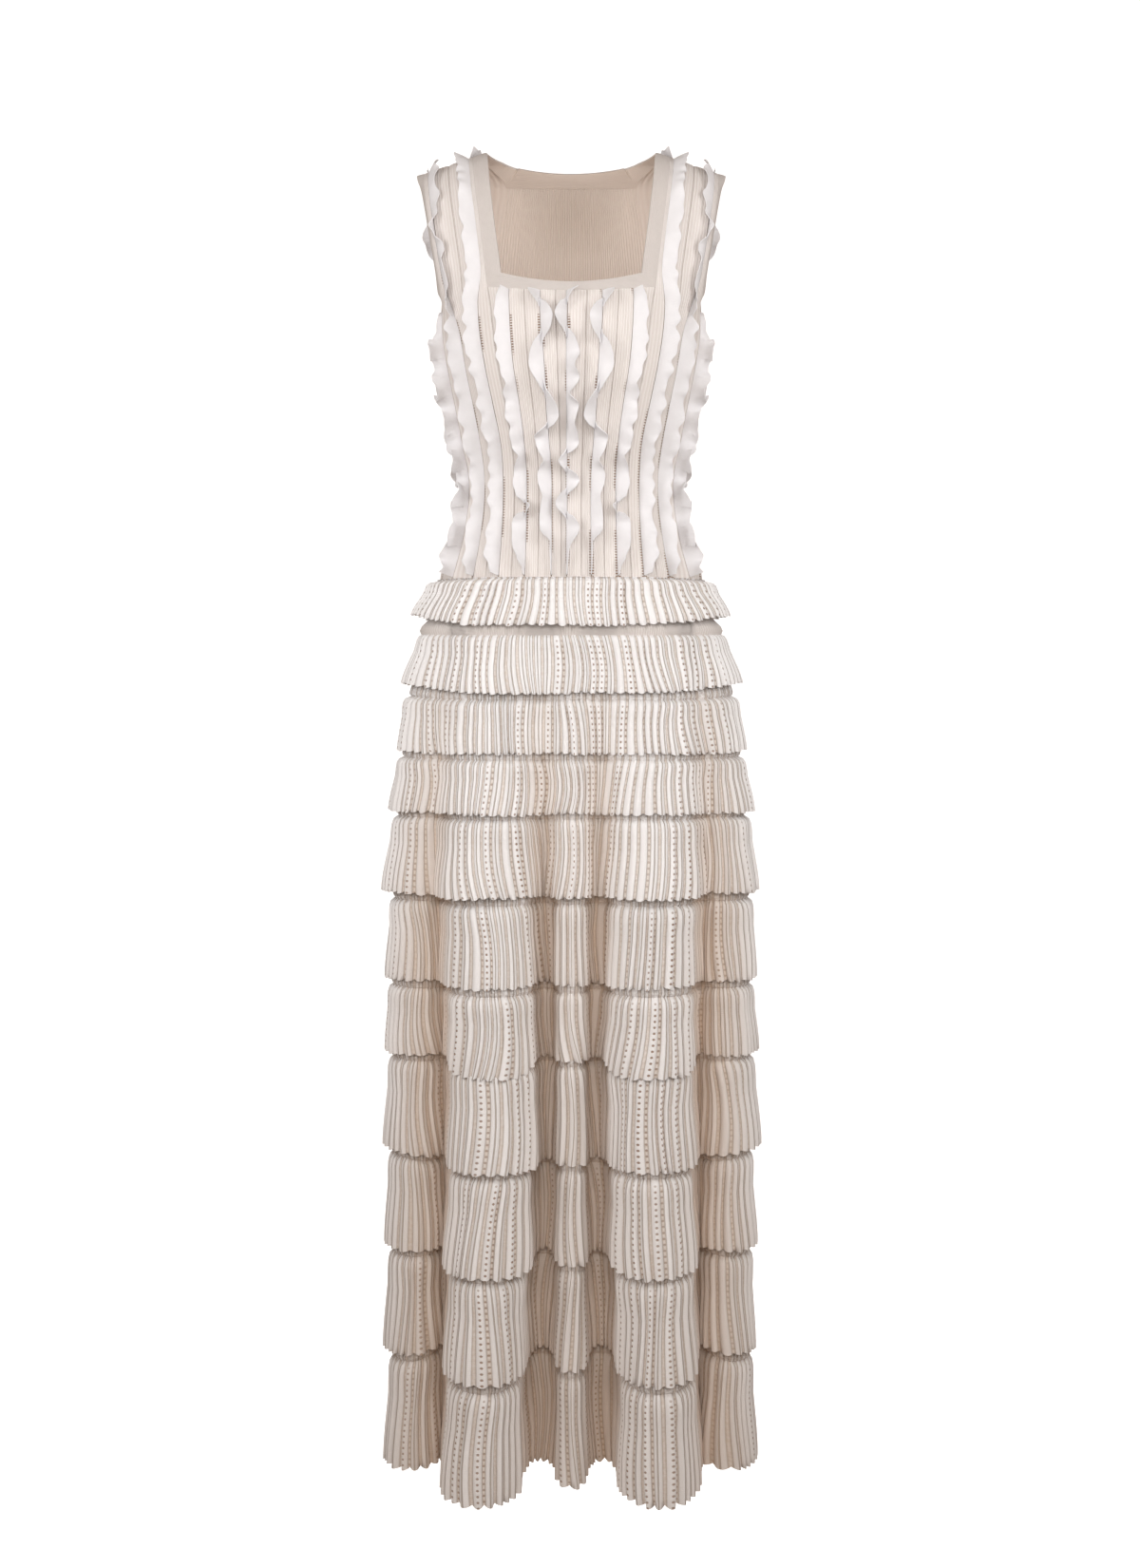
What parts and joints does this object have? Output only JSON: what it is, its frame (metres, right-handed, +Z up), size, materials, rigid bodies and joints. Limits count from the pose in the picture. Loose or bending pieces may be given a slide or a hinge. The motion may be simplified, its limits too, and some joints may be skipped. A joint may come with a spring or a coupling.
{
  "type": "maxi dress",
  "caption": "Sleeveless square-neck knit maxi dress with vertical bodice frills and a long skirt of pleated openwork ruffle tiers, in its worn shape.",
  "frame": {"origin": "midway between the tops of the two straps, at the height where they lie on the shoulders", "axes": "+Z up, -Y towards the front of the dress, +X towards the wearer's left"},
  "size_m": [0.4264, 0.3016, 1.4918],
  "materials": {
    "rib_knit": "soft matt rib knit, ivory",
    "band_knit": "soft matt doubled knit band, ivory",
    "frill_knit": "thin smooth knit frill, off-white",
    "openwork_knit": "pleated openwork knit, ivory"
  },
  "bodies": {
    "root": {"bodice_front": "rib_knit", "bodice_back": "rib_knit", "skirt_base": "rib_knit", "neckband_front": "band_knit", "neckband_back": "band_knit", "armband_left": "band_knit", "armband_right": "band_knit", "frill_front_centre": "frill_knit", "frill_back_centre": "frill_knit", "frill_front_a_left": "frill_knit", "frill_front_a_right": "frill_knit", "frill_front_b_left": "frill_knit", "frill_front_b_right": "frill_knit", "frill_front_c_left": "frill_knit", "frill_front_c_right": "frill_knit", "frill_front_d_left": "frill_knit", "frill_front_d_right": "frill_knit", "frill_front_e_left": "frill_knit", "frill_front_e_right": "frill_knit", "frill_back_a_left": "frill_knit", "frill_back_a_right": "frill_knit", "frill_back_b_left": "frill_knit", "frill_back_b_right": "frill_knit", "frill_back_c_left": "frill_knit", "frill_back_c_right": "frill_knit", "frill_back_d_left": "frill_knit", "frill_back_d_right": "frill_knit", "frill_back_e_left": "frill_knit", "frill_back_e_right": "frill_knit", "tier_01": "openwork_knit", "tier_02": "openwork_knit", "tier_03": "openwork_knit", "tier_04": "openwork_knit", "tier_05": "openwork_knit", "tier_06": "openwork_knit", "tier_07": "openwork_knit", "tier_08": "openwork_knit", "tier_09": "openwork_knit", "tier_10": "openwork_knit", "tier_11": "openwork_knit"}
  },
  "joints": []
}
